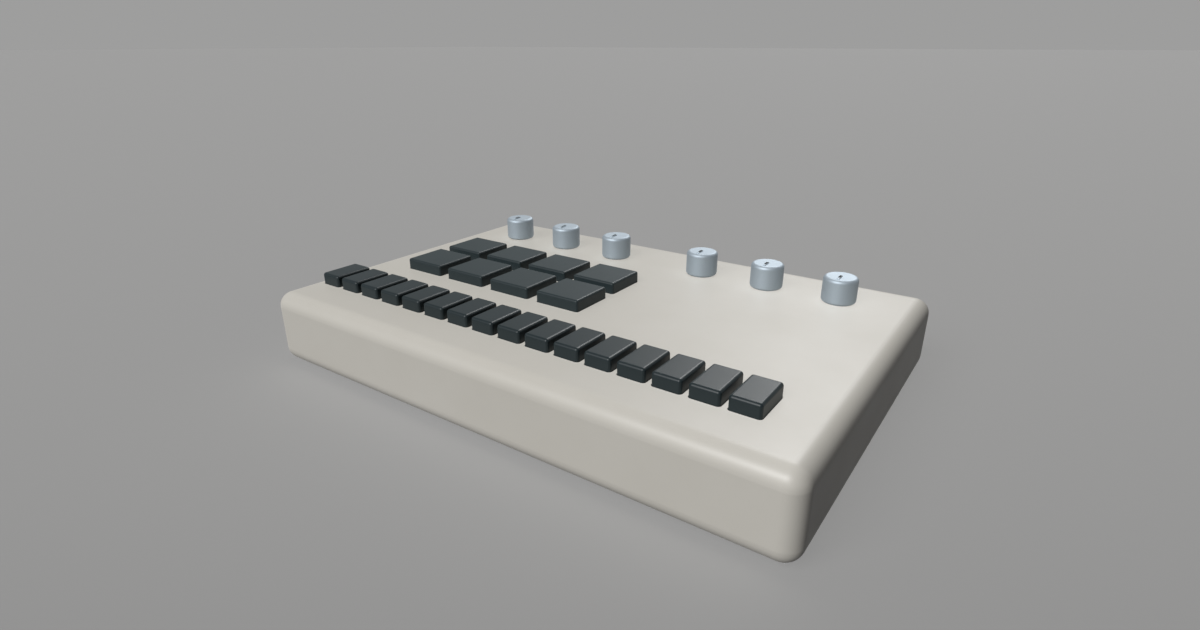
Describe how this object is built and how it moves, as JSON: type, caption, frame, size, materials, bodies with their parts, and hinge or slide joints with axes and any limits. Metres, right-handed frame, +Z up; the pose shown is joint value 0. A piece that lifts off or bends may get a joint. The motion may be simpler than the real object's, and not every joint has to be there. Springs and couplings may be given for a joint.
{
  "type": "drum machine",
  "caption": "Desktop drum machine: slab case with round edges, a row of step keys, drum pads in two rows and round knobs that turn.",
  "frame": {"origin": "middle of the case in plan, on the surface that the feet stand on", "axes": "+X along the width to the right, +Y to the rear with its connectors, +Z up"},
  "size_m": [0.3, 0.2, 0.0569],
  "materials": {
    "case_plastic": "fine satin moulded plastic",
    "cover_plastic": "fine textured moulded plastic",
    "key_plastic": "satin moulded plastic",
    "pad_rubber": "satin silicone rubber",
    "knob_plastic": "satin moulded plastic",
    "pointer_ink": "dark insert",
    "shaft_metal": "turned metal",
    "pot_metal": "plated sheet",
    "nut_metal": "plated steel",
    "silicone": "translucent silicone rubber",
    "sensor_film": "clear film",
    "board_laminate": "solder mask",
    "screw_steel": "zinc plated",
    "cover_screw_steel": "black oxide",
    "standoff_brass": "turned",
    "ribbon_plastic": "flat cable",
    "connector_plastic": "moulded nylon",
    "switch_plastic": "ribbed moulded plastic",
    "foot_rubber": "moulded rubber"
  },
  "bodies": {
    "chassis": {"top_case": "case_plastic", "bottom_cover": "cover_plastic", "pot_bodies": "pot_metal", "pot_nuts": "nut_metal", "pot_washers": "nut_metal", "key_dome_mat": "silicone", "pad_spring_mat": "silicone", "pad_sensor_sheet": "sensor_film", "control_board": "board_laminate", "main_board": "board_laminate", "board_screws": "screw_steel", "board_standoffs": "standoff_brass", "standoff_screws": "screw_steel", "ribbon_cable": "ribbon_plastic", "headphone_jack": "connector_plastic", "output_jack_left": "connector_plastic", "output_jack_right": "connector_plastic", "midi_in_socket": "connector_plastic", "midi_out_socket": "connector_plastic", "power_socket": "connector_plastic", "power_switch_body": "connector_plastic", "rubber_feet": "foot_rubber", "cover_screws": "cover_screw_steel"},
    "step_key_01": {"step_key_01": "key_plastic"},
    "step_key_02": {"step_key_02": "key_plastic"},
    "step_key_03": {"step_key_03": "key_plastic"},
    "step_key_04": {"step_key_04": "key_plastic"},
    "step_key_05": {"step_key_05": "key_plastic"},
    "step_key_06": {"step_key_06": "key_plastic"},
    "step_key_07": {"step_key_07": "key_plastic"},
    "step_key_08": {"step_key_08": "key_plastic"},
    "step_key_09": {"step_key_09": "key_plastic"},
    "step_key_10": {"step_key_10": "key_plastic"},
    "step_key_11": {"step_key_11": "key_plastic"},
    "step_key_12": {"step_key_12": "key_plastic"},
    "step_key_13": {"step_key_13": "key_plastic"},
    "step_key_14": {"step_key_14": "key_plastic"},
    "step_key_15": {"step_key_15": "key_plastic"},
    "step_key_16": {"step_key_16": "key_plastic"},
    "pad_1": {"pad_1": "pad_rubber"},
    "pad_2": {"pad_2": "pad_rubber"},
    "pad_3": {"pad_3": "pad_rubber"},
    "pad_4": {"pad_4": "pad_rubber"},
    "pad_5": {"pad_5": "pad_rubber"},
    "pad_6": {"pad_6": "pad_rubber"},
    "pad_7": {"pad_7": "pad_rubber"},
    "pad_8": {"pad_8": "pad_rubber"},
    "knob_1": {"knob_1": "knob_plastic", "pot_shaft_1": "shaft_metal"},
    "knob_2": {"knob_2": "knob_plastic", "pot_shaft_2": "shaft_metal"},
    "knob_3": {"knob_3": "knob_plastic", "pot_shaft_3": "shaft_metal"},
    "knob_4": {"knob_4": "knob_plastic", "pot_shaft_4": "shaft_metal"},
    "knob_5": {"knob_5": "knob_plastic", "pot_shaft_5": "shaft_metal"},
    "knob_6": {"knob_6": "knob_plastic", "pot_shaft_6": "shaft_metal"},
    "power_switch_slider": {"power_switch_slider": "switch_plastic"}
  },
  "joints": [
    {"name": "step_key_01_press", "type": "slide", "parent": "chassis", "child": "step_key_01", "axis": [0, 0, -1], "range_m": [0, 0.0012], "stiffness_N_per_m": 400, "springref_m": -0.001, "deforming": ["key_dome_mat"]},
    {"name": "step_key_02_press", "type": "slide", "parent": "chassis", "child": "step_key_02", "axis": [0, 0, -1], "range_m": [0, 0.0012], "stiffness_N_per_m": 400, "springref_m": -0.001},
    {"name": "step_key_03_press", "type": "slide", "parent": "chassis", "child": "step_key_03", "axis": [0, 0, -1], "range_m": [0, 0.0012], "stiffness_N_per_m": 400, "springref_m": -0.001},
    {"name": "step_key_04_press", "type": "slide", "parent": "chassis", "child": "step_key_04", "axis": [0, 0, -1], "range_m": [0, 0.0012], "stiffness_N_per_m": 400, "springref_m": -0.001},
    {"name": "step_key_05_press", "type": "slide", "parent": "chassis", "child": "step_key_05", "axis": [0, 0, -1], "range_m": [0, 0.0012], "stiffness_N_per_m": 400, "springref_m": -0.001},
    {"name": "step_key_06_press", "type": "slide", "parent": "chassis", "child": "step_key_06", "axis": [0, 0, -1], "range_m": [0, 0.0012], "stiffness_N_per_m": 400, "springref_m": -0.001},
    {"name": "step_key_07_press", "type": "slide", "parent": "chassis", "child": "step_key_07", "axis": [0, 0, -1], "range_m": [0, 0.0012], "stiffness_N_per_m": 400, "springref_m": -0.001},
    {"name": "step_key_08_press", "type": "slide", "parent": "chassis", "child": "step_key_08", "axis": [0, 0, -1], "range_m": [0, 0.0012], "stiffness_N_per_m": 400, "springref_m": -0.001},
    {"name": "step_key_09_press", "type": "slide", "parent": "chassis", "child": "step_key_09", "axis": [0, 0, -1], "range_m": [0, 0.0012], "stiffness_N_per_m": 400, "springref_m": -0.001},
    {"name": "step_key_10_press", "type": "slide", "parent": "chassis", "child": "step_key_10", "axis": [0, 0, -1], "range_m": [0, 0.0012], "stiffness_N_per_m": 400, "springref_m": -0.001},
    {"name": "step_key_11_press", "type": "slide", "parent": "chassis", "child": "step_key_11", "axis": [0, 0, -1], "range_m": [0, 0.0012], "stiffness_N_per_m": 400, "springref_m": -0.001},
    {"name": "step_key_12_press", "type": "slide", "parent": "chassis", "child": "step_key_12", "axis": [0, 0, -1], "range_m": [0, 0.0012], "stiffness_N_per_m": 400, "springref_m": -0.001},
    {"name": "step_key_13_press", "type": "slide", "parent": "chassis", "child": "step_key_13", "axis": [0, 0, -1], "range_m": [0, 0.0012], "stiffness_N_per_m": 400, "springref_m": -0.001},
    {"name": "step_key_14_press", "type": "slide", "parent": "chassis", "child": "step_key_14", "axis": [0, 0, -1], "range_m": [0, 0.0012], "stiffness_N_per_m": 400, "springref_m": -0.001},
    {"name": "step_key_15_press", "type": "slide", "parent": "chassis", "child": "step_key_15", "axis": [0, 0, -1], "range_m": [0, 0.0012], "stiffness_N_per_m": 400, "springref_m": -0.001},
    {"name": "step_key_16_press", "type": "slide", "parent": "chassis", "child": "step_key_16", "axis": [0, 0, -1], "range_m": [0, 0.0012], "stiffness_N_per_m": 400, "springref_m": -0.001},
    {"name": "pad_1_press", "type": "slide", "parent": "chassis", "child": "pad_1", "axis": [0, 0, -1], "range_m": [0, 0.001], "stiffness_N_per_m": 800, "springref_m": -0.001, "deforming": ["pad_spring_mat"]},
    {"name": "pad_2_press", "type": "slide", "parent": "chassis", "child": "pad_2", "axis": [0, 0, -1], "range_m": [0, 0.001], "stiffness_N_per_m": 800, "springref_m": -0.001},
    {"name": "pad_3_press", "type": "slide", "parent": "chassis", "child": "pad_3", "axis": [0, 0, -1], "range_m": [0, 0.001], "stiffness_N_per_m": 800, "springref_m": -0.001},
    {"name": "pad_4_press", "type": "slide", "parent": "chassis", "child": "pad_4", "axis": [0, 0, -1], "range_m": [0, 0.001], "stiffness_N_per_m": 800, "springref_m": -0.001},
    {"name": "pad_5_press", "type": "slide", "parent": "chassis", "child": "pad_5", "axis": [0, 0, -1], "range_m": [0, 0.001], "stiffness_N_per_m": 800, "springref_m": -0.001},
    {"name": "pad_6_press", "type": "slide", "parent": "chassis", "child": "pad_6", "axis": [0, 0, -1], "range_m": [0, 0.001], "stiffness_N_per_m": 800, "springref_m": -0.001},
    {"name": "pad_7_press", "type": "slide", "parent": "chassis", "child": "pad_7", "axis": [0, 0, -1], "range_m": [0, 0.001], "stiffness_N_per_m": 800, "springref_m": -0.001},
    {"name": "pad_8_press", "type": "slide", "parent": "chassis", "child": "pad_8", "axis": [0, 0, -1], "range_m": [0, 0.001], "stiffness_N_per_m": 800, "springref_m": -0.001},
    {"name": "knob_1_turn", "type": "hinge", "parent": "chassis", "child": "knob_1", "pos_m": [-0.1122, 0.0636, 0.042], "axis": [0, 0, 1], "range_deg": [-300, 0]},
    {"name": "knob_2_turn", "type": "hinge", "parent": "chassis", "child": "knob_2", "pos_m": [-0.0719, 0.0636, 0.042], "axis": [0, 0, 1], "range_deg": [-300, 0]},
    {"name": "knob_3_turn", "type": "hinge", "parent": "chassis", "child": "knob_3", "pos_m": [-0.0316, 0.0636, 0.042], "axis": [0, 0, 1], "range_deg": [-300, 0]},
    {"name": "knob_4_turn", "type": "hinge", "parent": "chassis", "child": "knob_4", "pos_m": [0.0289, 0.0636, 0.042], "axis": [0, 0, 1], "range_deg": [-300, 0]},
    {"name": "knob_5_turn", "type": "hinge", "parent": "chassis", "child": "knob_5", "pos_m": [0.0692, 0.0636, 0.042], "axis": [0, 0, 1], "range_deg": [-300, 0]},
    {"name": "knob_6_turn", "type": "hinge", "parent": "chassis", "child": "knob_6", "pos_m": [0.1095, 0.0636, 0.042], "axis": [0, 0, 1], "range_deg": [-300, 0]},
    {"name": "power_switch_slide", "type": "slide", "parent": "chassis", "child": "power_switch_slider", "axis": [1, 0, 0], "range_m": [0, 0.004]}
  ]
}
